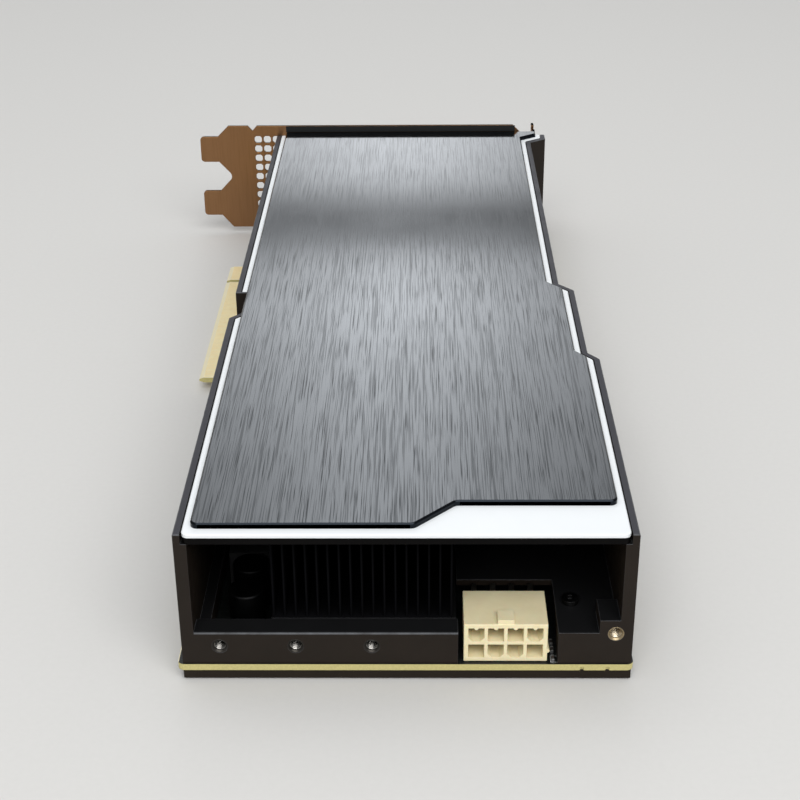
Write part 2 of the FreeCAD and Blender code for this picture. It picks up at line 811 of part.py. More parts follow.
def make_input_choke():
    """The square choke behind the round capacitors."""
    x = ledge_x + input_choke_gap + input_choke_side / 2
    return block_on(x, input_choke_y, input_choke_side, input_choke_side, 0, input_choke_height)


def make_controller_chips():
    """The flat chips away from the processor."""
    return group([block_on(x, y, side, side, 0, controller_height) for x, y, side in controller_spots])


def make_ceramic_capacitors():
    """Small blocks along two sides of the processor and beside the header."""
    x, y = package_centre
    size_x, size_y, size_z = decoupler_size
    parts = []
    for step in range(decoupler_count):
        along = x + (step - (decoupler_count - 1) / 2) * decoupler_pitch
        for side in (-1, 1):
            reach = package_side / 2 + decoupler_gap
            parts.append(block_on(along, y + side * reach, size_y, size_x, 0, size_z))
    bay_x = header_x + header_size[0] + bay_part_gap
    parts += [block_on(bay_x, bay_y, size_y, bay_part_length, 0, size_z) for bay_y in bay_part_ys]
    return group(parts)


# ================================================================== power header
def cavity(column, row):
    """The cutter for one contact cavity, square or with its lower corners cut off."""
    x = circuit_x(column)
    z = circuit_z(row)
    half = cavity_side / 2
    cut = cavity_chamfer if (column, row) in chamfered_cavities else 0
    if cut:
        profile = [(x - half, z + half), (x - half, z - half + cut), (x - half + cut, z - half),
                   (x + half - cut, z - half), (x + half, z - half + cut), (x + half, z + half)]
    else:
        profile = [(x - half, z - half), (x + half, z - half), (x + half, z + half), (x - half, z + half)]
    corners = [Vec(px, header_y, pz) for px, pz in profile]
    pocket = Part.Face(Part.makePolygon(corners + corners[:1])).extrude(Vec(0, cavity_depth, 0))
    if row == circuit_row_count - 1:
        pocket = pocket.cut(rod_y(x, z + half, cavity_rib_r, header_y, header_y + cavity_depth))
    return pocket


def make_power_header():
    """The eight-way housing with its cavities, latch block, side nub and feet."""
    width, depth, height = header_size
    top = header_foot + height
    body = box(header_x, header_x + width, header_y, header_back, header_foot, top)
    body = body.makeFillet(header_edge_r, body.Edges)
    middle = header_x + width / 2
    latch = box(middle - latch_size[0] / 2, middle + latch_size[0] / 2,
                header_y + header_edge_r, header_y + latch_size[1], top - header_edge_r, top + latch_size[2])
    foot = header_foot_side
    feet = [box(x, x + foot, y, y + foot, 0, header_foot + header_edge_r)
            for x in (header_x + foot_inset, header_x + width - foot_inset - foot)
            for y in (header_y + foot_inset, header_back - foot_inset - foot)]
    nub = rod_y(header_x + width, header_foot + side_nub_z, side_nub_r,
                header_y + header_edge_r, header_y + depth / 2)
    cavities = [cavity(column, row)
                for column in range(circuit_column_count) for row in range(circuit_row_count)]
    pin_holes = [box(x - pin_side / 2, x + pin_side / 2, header_y + cavity_depth, header_back,
                     circuit_z(row) - pin_side / 2, circuit_z(row) + pin_side / 2)
                 for x, _, row in pin_legs()]
    return joined([body, latch, nub] + feet).cut(cavities + pin_holes)


def make_header_pins():
    """Square pins that run back out of the housing and turn down through the board."""
    half = pin_side / 2
    pins = []
    for x, leg_y, row in pin_legs():
        z = circuit_z(row)
        run = box(x - half, x + half, header_y + pin_front, leg_y + half, z - half, z + half)
        leg = box(x - half, x + half, leg_y - half, leg_y + half, -board_thickness - pin_tail, z)
        pins.append(joined([run, leg]))
    return group(pins)


# ================================================================== bracket
def bracket_outline():
    """The bracket seen along Y, as X and Z, clockwise from the tip of the upper fork arm."""
    half = fork_width / 2
    low, high = fork_centres
    slope = bracket_top - (high + half)
    return [
        (fork_tip_x, high + half), (fork_root_x, high + half), (fork_root_x + slope, bracket_top),
        (top_notch_x - top_notch_width / 2, bracket_top), (top_notch_x, bracket_top - top_notch_depth),
        (top_notch_x + top_notch_width / 2, bracket_top), (top_end_x, bracket_top),
        (top_end_x + shoulder_drop, bracket_top - shoulder_drop),
        (flat_end_x(), bracket_top - shoulder_drop), (flat_end_x(), bracket_bottom),
        (body_left_x, bracket_bottom), (fork_root_x, low - half), (fork_tip_x, low - half),
        (fork_tip_x, low + half), (fork_root_x, low + half), (valley_x, valley_z),
        (fork_root_x, high - half), (fork_tip_x, high - half),
    ]


def flat_end_x():
    """Where the flat sheet ends and the bend to the flange starts."""
    return flange_x - bracket_thickness - bend_r


def vent_wire(x, z):
    """The outline of one vent: a square with its corners cut off."""
    half = vent_side / 2
    near = half - vent_corner
    ring = [(-half, -near), (-near, -half), (near, -half), (half, -near),
            (half, near), (near, half), (-near, half), (-half, near)]
    corners = [Vec(x + px, bracket_inner_y, z + pz) for px, pz in ring]
    return Part.makePolygon(corners + corners[:1])


def bracket_sheet():
    """The flat sheet with its vents and screw holes."""
    corners = [Vec(x, bracket_inner_y, z) for x, z in bracket_outline()]
    outer = Part.makePolygon(corners + corners[:1])
    first_x = top_notch_x + vent_left_gap
    first_z = bracket_top - vent_top_gap
    columns = 1 + int((top_end_x - vent_side - first_x) / vent_pitch_x)
    lowest_z = bracket_screw_z + board_screw_head_r + vent_side / 2
    rows = 1 + int((first_z - lowest_z) / vent_pitch_z)
    vents = [vent_wire(first_x + column * vent_pitch_x, first_z - row * vent_pitch_z)
             for column in range(columns) for row in range(rows)]
    return Part.makeFace([outer] + vents, "Part::FaceMakerBullseye").extrude(Vec(0, bracket_thickness, 0))


def round_across(sheet, spots, radius):
    """Round the edges that run along Y through the sheet at the given X, Z spots."""
    chosen = []
    for edge in sheet.Edges:
        start, end = edge.Vertexes[0].Point, edge.Vertexes[-1].Point
        along_y = abs(start.x - end.x) + abs(start.z - end.z) < 1e-6
        if along_y and any(math.dist((start.x, start.z), spot) < 1e-3 for spot in spots):
            chosen.append(edge)
    return sheet.makeFillet(radius, chosen)


def round_bracket(sheet):
    """Round the fork's tips, then the valley between its arms."""
    tips = [(fork_tip_x, centre + side * fork_width / 2) for centre in fork_centres for side in (-1, 1)]
    return round_across(round_across(sheet, tips, fork_tip_r), [(valley_x, valley_z)], valley_r)


def bracket_flange():
    """The bend and the flange that the chassis screws hold, with their two open slots."""
    top = bracket_top - shoulder_drop
    x0 = flat_end_x()
    outer = bend_r + bracket_thickness
    centre_y = bracket_face_y + bend_r
    bend = post(x0, centre_y, outer, bracket_bottom, top).cut(post(x0, centre_y, bend_r, bracket_bottom, top))
    bend = bend.common(box(x0, x0 + outer, centre_y - outer, centre_y, bracket_bottom, top))
    far = bracket_face_y + flange_length
    flange = box(flange_x - bracket_thickness, flange_x, centre_y, far, bracket_bottom, top)
    slot_y = (centre_y + far) / 2
    half = flange_slot / 2
    slots = []
    for z, z_open in ((fork_centres[0], bracket_bottom), (fork_centres[1] - flange_slot_drop, top)):
        slots.append(Part.makeCylinder(half, 2 * outer, Vec(flange_x - outer, slot_y, z), Vec(1, 0, 0)))
        slots.append(box(flange_x - outer, flange_x + outer, slot_y - half, slot_y + half,
                         min(z, z_open), max(z, z_open)))
    return [bend, flange.cut(slots)]


def make_io_bracket():
    """The bracket: fork, vented sheet and flange, folded from one strip."""
    body = joined([round_bracket(bracket_sheet())] + bracket_flange())
    hole_r = board_screw_r + hole_clearance
    return body.cut([rod_y(x, bracket_screw_z, hole_r, bracket_inner_y, bracket_face_y)
                     for x in bracket_screw_xs])


def make_bracket_screws():
    """The pan-head screws that hold the bracket to the frame."""
    screws = []
    tip = bracket_inner_y - bracket_screw_reach
    head_face = bracket_face_y + board_screw_head
    for x in bracket_screw_xs:
        head = rod_y(x, bracket_screw_z, board_screw_head_r, bracket_face_y, head_face)
        shank = rod_y(x, bracket_screw_z, board_screw_r, tip, bracket_face_y)
        pit = rod_y(x, bracket_screw_z, drive_r, head_face - drive_depth, head_face)
        screws.append(head.fuse(shank).removeSplitter().cut(pit))
    return group(screws)


# ================================================================== build
NODES = {
    "circuit_board": make_circuit_board,
    "edge_contacts": make_edge_contacts,
    "link_contacts": make_link_contacts,
    "duct_frame": make_duct_frame,
    "sill_inserts": make_sill_inserts,
    "boss_insert": make_boss_insert,
    "duct_cover": make_duct_cover,
    "trim_plate": make_trim_plate,
    "top_plate": make_top_plate,
    "backplate": make_backplate,
    "backplate_screws": make_backplate_screws,
    "tray_screws": make_tray_screws,
    "insulator_film": make_insulator_film,
    "heatsink_base": make_heatsink_base,
    "fin_stack": make_fin_stack,
    "heatsink_screws": make_heatsink_screws,
    "heatsink_springs": make_heatsink_springs,
    "package_substrate": make_package_substrate,
    "processor_die": make_processor_die,
    "memory_stacks": make_memory_stacks,
    "stiffener_ring": make_stiffener_ring,
    "thermal_sheet": make_thermal_sheet,
    "chokes": make_chokes,
    "choke_pads": make_choke_pads,
    "power_stages": make_power_stages,
    "storage_cans": make_storage_cans,
    "input_choke": make_input_choke,
    "controller_chips": make_controller_chips,
    "ceramic_capacitors": make_ceramic_capacitors,
    "power_header": make_power_header,
    "header_pins": make_header_pins,
    "io_bracket": make_io_bracket,
    "bracket_screws": make_bracket_screws,
}

os.makedirs("parts", exist_ok=True)
for name, make in NODES.items():
    shape = make()
    shape.translate(frame_origin)
    shape.exportStep("parts/" + name + ".step")
    print(name, "solids", len(shape.Solids), "volume", round(shape.Volume, 1), "valid", shape.isValid())
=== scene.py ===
"""Looks of a passive dual-slot accelerator card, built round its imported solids.

Every piece is in metres in the card's own frame: X from the edge-tab side to the link side,
Y from the tail to the bracket, Z up from the backplate's outer face.
"""

from __future__ import annotations

import logging
import math
from dataclasses import dataclass
from enum import Enum

import bmesh
import bpy
from mathutils import Matrix, Vector


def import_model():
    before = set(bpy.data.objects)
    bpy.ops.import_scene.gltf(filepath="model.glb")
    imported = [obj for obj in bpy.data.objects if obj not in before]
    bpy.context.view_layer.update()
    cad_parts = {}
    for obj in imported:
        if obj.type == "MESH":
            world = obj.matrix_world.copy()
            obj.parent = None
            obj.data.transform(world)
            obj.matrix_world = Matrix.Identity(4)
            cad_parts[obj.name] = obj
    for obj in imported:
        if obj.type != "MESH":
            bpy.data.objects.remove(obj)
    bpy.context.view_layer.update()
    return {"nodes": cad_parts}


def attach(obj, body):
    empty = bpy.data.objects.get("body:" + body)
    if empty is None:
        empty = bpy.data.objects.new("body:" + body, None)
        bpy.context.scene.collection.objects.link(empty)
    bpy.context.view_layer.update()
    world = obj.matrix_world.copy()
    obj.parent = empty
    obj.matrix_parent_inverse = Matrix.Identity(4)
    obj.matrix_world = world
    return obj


LOG = logging.getLogger("accelerator_card")
MM = 0.001
Rgb = tuple[float, float, float]
Span = tuple[float, float]
Corner = tuple[float, float, float]
Link = bpy.types.NodeSocket


def scaled(colour: Rgb, share: float) -> Rgb:
    """Returns a lighter or darker copy of a colour, held at white."""
    return tuple(min(1.0, part * share) for part in colour)


class Grain(Enum):
    """The way that a metal was brushed, rolled or drawn, as stretch along X, Y and Z."""

    ALONG_CARD = (1.0, 0.013, 1.0)
    ACROSS_CARD = (0.03, 1.0, 1.0)
    UPRIGHT = (1.0, 1.0, 0.03)
    NONE = (1.0, 1.0, 1.0)


class Recipe:
    """The nodes of one material, with short ways to add the ones that finishes share.

    EDGE_TURN says how far a softened normal has turned where an edge's mask is full and where
    it ends. The Mix node's colour sockets have no names of their own, so they go by number.
    """

    EDGE_SAMPLES: int = 6
    EDGE_TURN: Span = (0.75, 0.995)
    MIX_FIRST: int = 6
    MIX_SECOND: int = 7
    MIX_RESULT: int = 2

    def __init__(self, name: str) -> None:
        """Starts a material.

        Args:
            name: the material's name.
        """
        self.material = bpy.data.materials.new(name)
        self.material.use_nodes = True
        self.nodes = self.material.node_tree.nodes
        self.links = self.material.node_tree.links
        self.nodes.clear()
        self.surface = self.nodes.new("ShaderNodeBsdfPrincipled")
        output = self.nodes.new("ShaderNodeOutputMaterial")
        self.links.new(self.surface.outputs["BSDF"], output.inputs["Surface"])
        self.place = self.nodes.new("ShaderNodeTexCoord").outputs["Object"]

    def put(self, kind: str, inputs: dict | None = None, **settings: object) -> bpy.types.Node:
        """Adds a node.

        Args:
            kind: Blender's name for the node, without the leading "ShaderNode".
            inputs: values or other nodes' sockets, by input name or number.
            settings: the node's own properties.

        Returns:
            The new node.
        """
        node = self.nodes.new("ShaderNode" + kind)
        for key, value in settings.items():
            setattr(node, key, value)
        for key, value in (inputs or {}).items():
            self.feed(node.inputs[key], value)
        return node

    def feed(self, socket: Link, value: object) -> None:
        """Links a socket to another node's, or sets its own value.

        Args:
            socket: the input to set.
            value: a socket, a number or a colour.
        """
        if isinstance(value, bpy.types.NodeSocket):
            self.links.new(value, socket)
        elif isinstance(value, tuple) and len(value) == 3 and socket.type == "RGBA":
            socket.default_value = (*value, 1.0)
        else:
            socket.default_value = value

    def finish(self, **sockets: object) -> bpy.types.Material:
        """Sets the surface's sockets, with underscores for the spaces in their names.

        Args:
            sockets: each socket's value or link.

        Returns:
            The finished material.
        """
        for key, value in sockets.items():
            self.feed(self.surface.inputs[key.replace("_", " ")], value)
        return self.material

    def noise(self, size_mm: float, grain: Grain = Grain.NONE, detail: float = 3.0,
              roughness: float = 0.55) -> Link:
        """Adds a cloudy pattern in the card's own coordinates.

        Args:
            size_mm: the width of one spot.
            grain: the direction in which the spots are drawn out.
            detail: how many finer layers are added.
            roughness: how strong the finer layers are.

        Returns:
            The pattern, from 0 to 1.
        """
        scale = tuple(share / (size_mm * MM) for share in grain.value)
        spot = self.put("Mapping", {"Vector": self.place, "Scale": scale}).outputs["Vector"]
        return self.put("TexNoise", {"Vector": spot, "Scale": 1.0, "Detail": detail,
                                     "Roughness": roughness}).outputs["Fac"]

    def part(self, vector: Link, axis: str) -> Link:
        """Returns one coordinate of a vector, by its letter."""
        return self.put("SeparateXYZ", {0: vector}).outputs[axis]

    def facing(self) -> Link:
        """Returns how far the surface faces up, or down below zero."""
        return self.part(self.put("NewGeometry").outputs["True Normal"], "Z")

    def spread(self, value: Link, low: float, high: float, start: float = 0.3,
               end: float = 0.7) -> Link:
        """Turns a pattern into a range of numbers.

        Args:
            value: the pattern.
            low: the number at the pattern's start.
            high: the number at its end.
            start: where in the pattern the range starts.
            end: where it ends.

        Returns:
            The new numbers.
        """
        node = self.put("MapRange", {"Value": value, "From Min": start, "From Max": end,
                                     "To Min": low, "To Max": high})
        return node.outputs["Result"]

    def blend(self, share: Link, first: Rgb | Link, second: Rgb | Link) -> Link:
        """Mixes two colours.

        Args:
            share: how much of the second.
            first: the colour at 0.
            second: the colour at 1.

        Returns:
            The mixed colour.
        """
        node = self.put("Mix", data_type="RGBA")
        self.feed(node.inputs["Factor"], share)
        self.feed(node.inputs[self.MIX_FIRST], first)
        self.feed(node.inputs[self.MIX_SECOND], second)
        return node.outputs[self.MIX_RESULT]

    def maths(self, operation: str, first: Link | float, second: Link | float = 0.0) -> Link:
        """Adds one step of arithmetic.

        Args:
            operation: Blender's name for the step.
            first: the first number.
            second: the second number.

        Returns:
            The result.
        """
        return self.put("Math", {0: first, 1: second}, operation=operation).outputs["Value"]

    def edges(self, radius_mm: float) -> tuple[Link, Link]:
        """Softens the edges.

        Args:
            radius_mm: how far the rounding reaches from an edge.

        Returns:
            The rounded normal, and a mask that is 1 on the edges.
        """
        bevel = self.put("Bevel", {"Radius": radius_mm * MM}, samples=self.EDGE_SAMPLES)
        rounded = bevel.outputs["Normal"]
        flat = self.put("NewGeometry").outputs["True Normal"]
        turned = self.put("VectorMath", {0: rounded, 1: flat}, operation="DOT_PRODUCT")
        return rounded, self.spread(turned.outputs["Value"], 1.0, 0.0, *self.EDGE_TURN)

    def bump(self, height: Link, depth_mm: float, normal: Link | None = None) -> Link:
        """Raises a pattern from the surface.

        Args:
            height: the pattern.
            depth_mm: the height between its lows and highs.
            normal: the normal to start from.

        Returns:
            The new normal.
        """
        inputs = {"Height": height, "Distance": depth_mm * MM, "Strength": 1.0}
        if normal is not None:
            inputs["Normal"] = normal
        return self.put("Bump", inputs).outputs["Normal"]


@dataclass(frozen=True)
class PowderCoat:
    """A satin coat over cast metal: fine peel, cloudy gloss, rubbed edges with a painted
    highlight, a painted sky sheen on open top faces and painted shade on ledges inside.

    Each slope is a pair of upward shares of the normal: where an effect starts and is full.
    """

    name: str
    colour: Rgb
    rubbed_and_highlit: Rgb
    roughness: float = 0.42
    gloss_swing: Span = (-0.06, 0.08)
    gloss_mm: float = 5.0
    peel_mm: float = 0.35
    peel_depth_mm: float = 0.006
    edge_mm: float = 0.25
    edge_wear_and_highlight: float = 0.5
    wear_mm: float = 3.0
    wear_least: float = 0.45
    reach_and_light_below: float = 0.25
    reach_and_light_slope: Span = (0.0, 0.5)
    flank_slope: Span = (0.2, 0.45)
    level_slope: Span = (0.75, 0.97)
    cloud: float = 0.18
    cloud_mm: float = 9.0
    sheen_level: float = 0.45
    # Painted light: up-facing faces high on the casting take a bluish painted sheen of the bright
    # sky, and up-facing ledges lower down, inside the duct, take a painted shade.
    painted_sky_sheen: Rgb = (0.3, 0.31, 0.33)
    painted_sky_sheen_share: float = 0.0
    painted_sky_sheen_slope: Span = (0.6, 0.95)
    painted_sky_sheen_above_mm: float = 36.0
    painted_sky_sheen_fade_mm: float = 0.5
    painted_ledge_shade: Rgb = (0.0055, 0.0068, 0.0082)

    def build(self) -> bpy.types.Material:
        """Builds the material.

        Returns:
            The new material.
        """
        recipe = Recipe(self.name)
        rounded, edge = recipe.edges(self.edge_mm)
        upward = recipe.part(rounded, "Z")
        worn_and_highlit = self.wear_and_highlight(recipe, upward, edge)
        shade = recipe.spread(recipe.noise(self.cloud_mm), 0.0, 1.0)
        clean = recipe.blend(shade, self.colour, scaled(self.colour, 1 + self.cloud))
        # Painted sky sheen on high up-facing faces, painted shade on up-facing ledges inside.
        high_on_casting = recipe.spread(recipe.part(recipe.place, "Z"), 0.0, 1.0, self.painted_sky_sheen_above_mm * MM,
                                 (self.painted_sky_sheen_above_mm + self.painted_sky_sheen_fade_mm) * MM)
        upward_for_sky_sheen = recipe.maths("MULTIPLY", recipe.spread(upward, 0.0, 1.0, *self.painted_sky_sheen_slope),
                               self.painted_sky_sheen_share)
        tint = recipe.blend(upward_for_sky_sheen, clean, recipe.blend(high_on_casting, self.painted_ledge_shade, self.painted_sky_sheen))
        peel = recipe.noise(self.peel_mm, detail=2.0)
        bright, dull = (self.roughness + swing for swing in self.gloss_swing)
        return recipe.finish(
            Base_Color=recipe.blend(worn_and_highlit, tint, self.rubbed_and_highlit),
            Roughness=recipe.spread(recipe.noise(self.gloss_mm, detail=5.0), bright, dull),
            Specular_IOR_Level=self.sheen_level,
            Normal=recipe.bump(peel, self.peel_depth_mm, rounded))

    def wear_and_highlight(self, recipe: Recipe, upward: Link, edge: Link) -> Link:
        """Finds where the coat is rubbed and where a highlight is painted: edges and slanting
        flanks, in patches, more on faces that look up.

        Args:
            recipe: the material that it is for.
            upward: how far the softened surface faces up.
            edge: the mask of the edges.

        Returns:
            The share that is rubbed and painted as a highlight.
        """
        patches = recipe.spread(recipe.noise(self.wear_mm, detail=4.0), self.wear_least, 1.0)
        # Faces that look up get more: partly rubbing, partly painted light from above.
        reached_and_lit = recipe.spread(upward, self.reach_and_light_below, 1.0, *self.reach_and_light_slope)
        handled = recipe.maths("MULTIPLY", patches, reached_and_lit)
        # Painted highlight: slanting flanks, such as a rounded top edge, get the bright line of
        # the sky.
        slope = recipe.maths("MULTIPLY", recipe.spread(upward, 0.0, 1.0, *self.flank_slope),
                             recipe.spread(upward, 1.0, 0.0, *self.level_slope))
        bare = recipe.maths("MAXIMUM", edge, slope)
        return recipe.maths("MULTIPLY", recipe.maths("MULTIPLY", bare, handled), self.edge_wear_and_highlight)


@dataclass(frozen=True)
class BrushedMetal:
    """Metal brushed or rolled one way: long streaks in colour, gloss and height.

    Each band is a pair of pattern values: where a hairline is full and where it ends.
    """

    name: str
    dark: Rgb
    light: Rgb
    grain: Grain
    roughness: float = 0.35
    streak_mm: float = 0.35
    groove_mm: float = 0.004
    anisotropy: float = 0.6
    edge_mm: float = 0.25
    edge_share: float = 0.35
    edge_lift: float = 1.8
    hairline: float = 0.6
    fine_band: Span = (0.34, 0.47)
    second_band: Span = (0.34, 0.46)
    second_width: float = 1.4
    second_share: float = 0.6
    broad_width: float = 14.0
    broad_shade: float = 0.93
    gloss_swing: float = 0.05
    cloud_mm: float = 28.0
    cloud_gloss: Span = (-0.01, 0.015)
    groove_share: float = 0.5
    ridge_share: float = 0.4
    rim: Rgb | None = None
    rim_slope: Span = (0.9, 0.99)
    faint_share: float = 1.0
    faint_from_to: Span = (-0.03, 0.1)

    def build(self) -> bpy.types.Material:
        """Builds the material.

        Returns:
            The new material.
        """
        recipe = Recipe(self.name)
        rounded, edge = recipe.edges(self.edge_mm)
        fine = recipe.noise(self.streak_mm, self.grain, detail=2.0, roughness=0.6)
        scored = self.scores(recipe, fine)
        tint = self.tint(recipe, scored)
        relief = recipe.maths("ADD", recipe.maths("MULTIPLY", scored, -self.groove_share),
                              recipe.maths("MULTIPLY", fine, self.ridge_share))
        cloud = recipe.noise(self.cloud_mm, detail=4.0)
        duller = recipe.spread(scored, self.roughness, self.roughness + self.gloss_swing, 0.0, 1.0)
        gloss = recipe.maths("ADD", duller, recipe.spread(cloud, *self.cloud_gloss))
        if self.rim is None:
            tint = recipe.blend(recipe.maths("MULTIPLY", edge, self.edge_share), tint,
                                scaled(self.light, self.edge_lift))
        else:
            level = recipe.maths("ABSOLUTE", recipe.facing())
            tint = recipe.blend(recipe.spread(level, 1.0, 0.0, *self.rim_slope), tint, self.rim)
        return recipe.finish(
            Base_Color=tint, Metallic=1.0, Roughness=gloss, Anisotropic=self.anisotropy,
            Tangent=self.across_grain(recipe),
            Normal=recipe.bump(relief, self.groove_mm, rounded))

    def scores(self, recipe: Recipe, fine: Link) -> Link:
        """Draws the hairlines.

        Args:
            recipe: the material that they are for.
            fine: the finer streaks.

        Returns:
            The hairlines' strength, from 0 to 1.
        """
        second = recipe.noise(self.streak_mm * self.second_width, self.grain, detail=1.0,
                              roughness=0.5)
        wider = recipe.maths("MULTIPLY", recipe.spread(second, 1.0, 0.0, *self.second_band),
                             self.second_share)
        return recipe.maths("MAXIMUM", recipe.spread(fine, 1.0, 0.0, *self.fine_band), wider)

    def tint(self, recipe: Recipe, scored: Link) -> Link:
        """Colours the metal, with hairlines that get fainter towards the bracket.

        Args:
            recipe: the material that it is for.
            scored: the hairlines' strength.

        Returns:
            The colour.
        """
        broad = recipe.noise(self.streak_mm * self.broad_width, self.grain, detail=2.0)
        ground = recipe.blend(recipe.spread(broad, 0.0, 1.0), scaled(self.light, self.broad_shade),
                              self.light)
        strength = recipe.spread(recipe.part(recipe.place, "Y"), self.hairline,
                                 self.hairline * self.faint_share, *self.faint_from_to)
        return recipe.blend(recipe.maths("MULTIPLY", scored, strength), ground, self.dark)

    def across_grain(self, recipe: Recipe) -> Link:
        """Finds the way in which highlights stretch: across the grain, in the surface.

        Args:
            recipe: the material that it is for.

        Returns:
            The direction.
        """
        ways = {Grain.ALONG_CARD: (0.0, 1.0, 0.0), Grain.ACROSS_CARD: (1.0, 0.0, 0.0),
                Grain.UPRIGHT: (0.0, 0.0, 1.0), Grain.NONE: (0.0, 1.0, 0.0)}
        flat = recipe.put("NewGeometry").outputs["True Normal"]
        node = recipe.put("VectorMath", {0: flat, 1: ways[self.grain]}, operation="CROSS_PRODUCT")
        return node.outputs["Vector"]


@dataclass(frozen=True)
class PlatedMetal:
    """A plated or turned metal: smooth, with a slight bloom where it was handled."""

    name: str
    colour: Rgb
    bloom: Rgb
    roughness: float = 0.25
    gloss_swing: Span = (-0.06, 0.12)
    bloom_mm: float = 2.2
    bloom_band: Span = (0.35, 0.7)
    turning_mm: float = 0.12
    turning_depth_mm: float = 0.002
    edge_mm: float = 0.12
    edge_share: float = 0.4
    edge_lift: float = 1.3

    def build(self) -> bpy.types.Material:
        """Builds the material.

        Returns:
            The new material.
        """
        recipe = Recipe(self.name)
        rounded, edge = recipe.edges(self.edge_mm)
        cloud = recipe.noise(self.bloom_mm, detail=5.0)
        tint = recipe.blend(recipe.spread(cloud, 0.0, 1.0, *self.bloom_band), self.colour,
                            self.bloom)
        turning = recipe.noise(self.turning_mm, detail=2.0)
        bright, dull = (self.roughness + swing for swing in self.gloss_swing)
        return recipe.finish(
            Base_Color=recipe.blend(recipe.maths("MULTIPLY", edge, self.edge_share), tint,
                                    scaled(self.colour, self.edge_lift)),
            Metallic=1.0,
            Roughness=recipe.spread(cloud, bright, dull),
            Normal=recipe.bump(turning, self.turning_depth_mm, rounded))


@dataclass(frozen=True)
class MouldedResin:
    """A moulded part: even colour, spark-eroded texture, soft edges and a little depth."""

    name: str
    colour: Rgb
    shade: Rgb
    roughness: float = 0.4
    gloss_swing: Span = (-0.05, 0.07)
    flow_mm: float = 4.0
    texture_mm: float = 0.12
    texture_depth_mm: float = 0.004
    depth: float = 0.0
    depth_mm: float = 0.6
    edge_mm: float = 0.15
    edge_share: float = 0.3
    edge_lift: float = 1.12

    def build(self) -> bpy.types.Material:
        """Builds the material.

        Returns:
            The new material.
        """
        recipe = Recipe(self.name)
        rounded, edge = recipe.edges(self.edge_mm)
        flow = recipe.noise(self.flow_mm, detail=4.0)
        tint = recipe.blend(recipe.spread(flow, 0.0, 1.0), self.shade, self.colour)
        texture = recipe.noise(self.texture_mm, detail=2.0)
        bright, dull = (self.roughness + swing for swing in self.gloss_swing)
        return recipe.finish(
            Base_Color=recipe.blend(recipe.maths("MULTIPLY", edge, self.edge_share), tint,
                                    scaled(self.colour, self.edge_lift)),
            Roughness=recipe.spread(flow, bright, dull),
            Subsurface_Weight=self.depth, Subsurface_Scale=self.depth_mm * MM,
            Normal=recipe.bump(texture, self.texture_depth_mm, rounded))


@dataclass(frozen=True)
class Laminate:
    """A glass-epoxy board: dark mask on the faces, pale fibre on the cut edges."""

    name: str
    mask: Rgb
    fibre: Rgb
    bare: Rgb
    bare_shade: float = 0.92
    bare_left_of_mm: float = -49.0
    cut_slope: Span = (0.6, 0.98)
    cut_shade: float = 0.82
    ply_mm: float = 0.2
    ply_share: float = 0.15
    fray_mm: float = 0.35
    trace_mm: float = 8.0
    trace_gap: float = 0.02
    trace_lift: float = 1.7
    gloss: Span = (0.32, 0.7)
    relief_mm: float = 0.01

    def build(self) -> bpy.types.Material:
        """Builds the material.

        Returns:
            The new material.
        """
        recipe = Recipe(self.name)
        level = recipe.maths("ABSOLUTE", recipe.facing())
        upright = recipe.spread(level, 1.0, 0.0, *self.cut_slope)
        fray = recipe.noise(self.fray_mm, detail=4.0)
        traces = recipe.put("TexBrick", {"Vector": recipe.place,
                                         "Scale": 1 / (self.trace_mm * MM),
                                         "Mortar Size": self.trace_gap}).outputs["Fac"]
        coated = recipe.blend(traces, self.mask, scaled(self.mask, self.trace_lift))
        blank = recipe.blend(fray, scaled(self.bare, self.bare_shade), self.bare)
        masked = recipe.maths("GREATER_THAN", recipe.part(recipe.place, "X"),
                              self.bare_left_of_mm * MM)
        return recipe.finish(
            Base_Color=recipe.blend(upright, recipe.blend(masked, blank, coated),
                                    self.cut_edge(recipe, fray)),
            Roughness=recipe.spread(upright, *self.gloss, 0.0, 1.0),
            Normal=recipe.bump(recipe.maths("ADD", fray, traces), self.relief_mm))

    def cut_edge(self, recipe: Recipe, fray: Link) -> Link:
        """Colours the cut edge, with its plies and frayed fibre.

        Args:
            recipe: the material that it is for.
            fray: the pattern of the frayed fibre.

        Returns:
            The colour.
        """
        waves = recipe.maths("MULTIPLY", recipe.part(recipe.place, "Z"),
                             math.tau / (self.ply_mm * MM))
        plies = recipe.maths("MULTIPLY", recipe.maths("SINE", waves), self.ply_share)
        return recipe.blend(recipe.spread(recipe.maths("ADD", plies, fray), 0.0, 1.0),
                            scaled(self.fibre, self.cut_shade), self.fibre)


@dataclass(frozen=True)
class SoftSheet:
    """A thermal pad or thin film: matt, with a faint pressed texture."""

    name: str
    colour: Rgb
    roughness: float = 0.75
    gloss_swing: Span = (-0.06, 0.06)
    texture_mm: float = 0.5
    texture_depth_mm: float = 0.02
    shade: float = 0.85

    def build(self) -> bpy.types.Material:
        """Builds the material.

        Returns:
            The new material.
        """
        recipe = Recipe(self.name)
        cloud = recipe.noise(self.texture_mm, detail=3.0)
        bright, dull = (self.roughness + swing for swing in self.gloss_swing)
        return recipe.finish(
            Base_Color=recipe.blend(cloud, scaled(self.colour, self.shade), self.colour),
            Roughness=recipe.spread(cloud, bright, dull),
            Normal=recipe.bump(cloud, self.texture_depth_mm))


Finish = PowderCoat | BrushedMetal | PlatedMetal | MouldedResin | Laminate | SoftSheet

